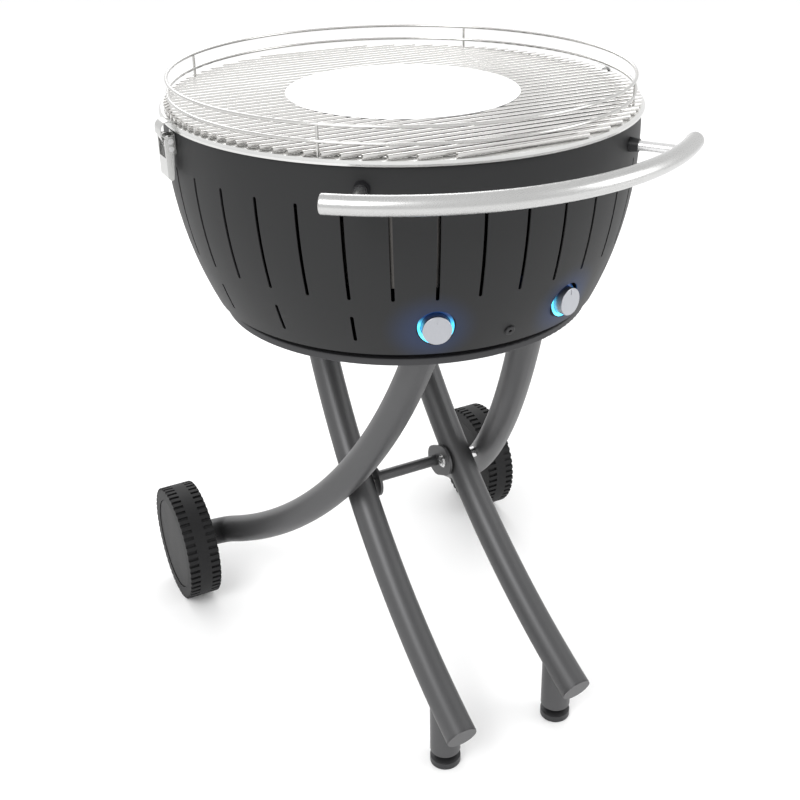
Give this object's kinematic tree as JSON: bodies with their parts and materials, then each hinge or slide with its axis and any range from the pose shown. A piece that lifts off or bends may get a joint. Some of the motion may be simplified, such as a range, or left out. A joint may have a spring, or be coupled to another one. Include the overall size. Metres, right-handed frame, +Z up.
{
  "type": "charcoal grill",
  "caption": "Round charcoal grill with a slotted bowl, grate, wire guard, knobs, latches and push handle on a crossed tube stand with wheels and levelling feet.",
  "frame": {"origin": "on the floor under the axis of the bowl", "axes": "+Z up, -Y towards the knobs and the push handle, +Y towards the wheels, +X to the right when facing the wheels from the knobs"},
  "size_m": [0.6326, 0.7399, 0.8786],
  "materials": {
    "bowl_paint": "satin powder coat",
    "base_paint": "satin powder coat",
    "dark_steel": "matt black",
    "tube_paint": "metallic satin powder coat",
    "black_plastic": "fine matt",
    "hub_plastic": "fine matt",
    "tyre": "matt",
    "stainless": "satin",
    "polished_rod": "polished",
    "bolt_steel": "bright",
    "handle_steel": "brushed lengthwise",
    "knob_silver": "satin",
    "light_guide": "lit from behind",
    "foot_coat": "satin",
    "cell_wrap": "gloss"
  },
  "bodies": {
    "grill": {"outer_bowl": "bowl_paint", "fire_bowl": "stainless", "base_flange": "base_paint", "bowl_spacer": "dark_steel", "right_leg": "tube_paint", "right_wheel_tube": "tube_paint", "left_leg": "tube_paint", "left_wheel_tube": "tube_paint", "leg_end_caps": "tube_paint", "axle_plugs": "black_plastic", "foot_sockets": "tube_paint", "cross_rod": "tube_paint", "cross_plates": "tube_paint", "cross_spacers": "bolt_steel", "cross_bolts": "bolt_steel", "left_axle": "bolt_steel", "right_axle": "bolt_steel", "handle_tube": "handle_steel", "handle_end_caps": "handle_steel", "handle_struts": "polished_rod", "strut_collars": "black_plastic", "bezels": "black_plastic", "light_rings": "light_guide", "control_units": "black_plastic", "front_screw": "dark_steel", "latch_brackets": "stainless", "latch_pins": "bolt_steel", "fan_case": "dark_steel", "air_duct": "dark_steel", "fan_motor": "dark_steel", "battery_box": "black_plastic", "battery_cells": "cell_wrap"},
    "left_wheel": {"left_tyre": "tyre", "left_hub": "hub_plastic", "left_hub_cover": "hub_plastic", "left_hub_screws": "bolt_steel"},
    "right_wheel": {"right_tyre": "tyre", "right_hub": "hub_plastic", "right_hub_cover": "hub_plastic", "right_hub_screws": "bolt_steel"},
    "left_foot": {"left_foot": "foot_coat"},
    "right_foot": {"right_foot": "foot_coat"},
    "left_knob": {"left_knob": "knob_silver"},
    "right_knob": {"right_knob": "knob_silver"},
    "left_lever": {"left_lever": "stainless", "left_hook_pin": "bolt_steel"},
    "right_lever": {"right_lever": "stainless", "right_hook_pin": "bolt_steel"},
    "left_hook": {"left_hook": "stainless"},
    "right_hook": {"right_hook": "stainless"},
    "grate": {"cooking_grate": "stainless", "centre_plate": "stainless"},
    "guard": {"guard_rail": "stainless"},
    "container": {"charcoal_container": "stainless"},
    "lid": {"container_lid": "stainless", "lid_knob": "black_plastic"},
    "pan": {"ignition_pan": "stainless"},
    "fan": {"fan_rotor": "black_plastic"}
  },
  "joints": [
    {"name": "left_wheel_spin", "type": "hinge", "parent": "grill", "child": "left_wheel", "pos_m": [-0.2705, 0.2677, 0.0916], "axis": [1, 0, 0], "continuous": true},
    {"name": "left_foot_screw", "type": "slide", "parent": "grill", "child": "left_foot", "axis": [0, 0, -1], "range_m": [0, 0.01]},
    {"name": "right_wheel_spin", "type": "hinge", "parent": "grill", "child": "right_wheel", "pos_m": [0.2705, 0.2677, 0.0916], "axis": [1, 0, 0], "continuous": true},
    {"name": "right_foot_screw", "type": "slide", "parent": "grill", "child": "right_foot", "axis": [0, 0, -1], "range_m": [0, 0.01]},
    {"name": "left_knob_turn", "type": "hinge", "parent": "grill", "child": "left_knob", "pos_m": [-0.09235, -0.25372, 0.64], "axis": [-0.342, -0.9397, 0], "range_deg": [-270, 0]},
    {"name": "right_knob_turn", "type": "hinge", "parent": "grill", "child": "right_knob", "pos_m": [0.07894, -0.2582, 0.64], "axis": [0.2924, -0.9563, 0], "range_deg": [-270, 0]},
    {"name": "left_lever_swing", "type": "hinge", "parent": "grill", "child": "left_lever", "pos_m": [-0.3068, 0, 0.826], "axis": [0, 1, 0], "range_deg": [0, 88]},
    {"name": "left_hook_turn", "type": "hinge", "parent": "left_lever", "child": "left_hook", "pos_m": [-0.3068, 0, 0.817], "axis": [0, 1, 0], "range_deg": [-105, 0]},
    {"name": "right_lever_swing", "type": "hinge", "parent": "grill", "child": "right_lever", "pos_m": [0.3068, 0, 0.826], "axis": [0, -1, 0], "range_deg": [0, 88]},
    {"name": "right_hook_turn", "type": "hinge", "parent": "right_lever", "child": "right_hook", "pos_m": [0.3068, 0, 0.817], "axis": [0, -1, 0], "range_deg": [-105, 0]},
    {"name": "grate_lift", "type": "slide", "parent": "grill", "child": "grate", "axis": [0, 0, 1], "range_m": [0, 0.3]},
    {"name": "guard_lift", "type": "slide", "parent": "grate", "child": "guard", "axis": [0, 0, 1], "range_m": [0, 0.15]},
    {"name": "container_lift", "type": "slide", "parent": "grill", "child": "container", "axis": [0, 0, 1], "range_m": [0, 0.015]},
    {"name": "lid_lift", "type": "slide", "parent": "container", "child": "lid", "axis": [0, 0, 1], "range_m": [0, 0.03]},
    {"name": "pan_lift", "type": "slide", "parent": "grill", "child": "pan", "axis": [0, 0, 1], "range_m": [0, 0.015]},
    {"name": "fan_spin", "type": "hinge", "parent": "grill", "child": "fan", "pos_m": [0, 0, 0.62], "axis": [0, 0, 1], "continuous": true}
  ],
  "couplings": [
    {"joint": "left_hook_turn", "follows": "left_lever_swing", "ratio": -1.15},
    {"joint": "right_hook_turn", "follows": "right_lever_swing", "ratio": -1.15}
  ]
}
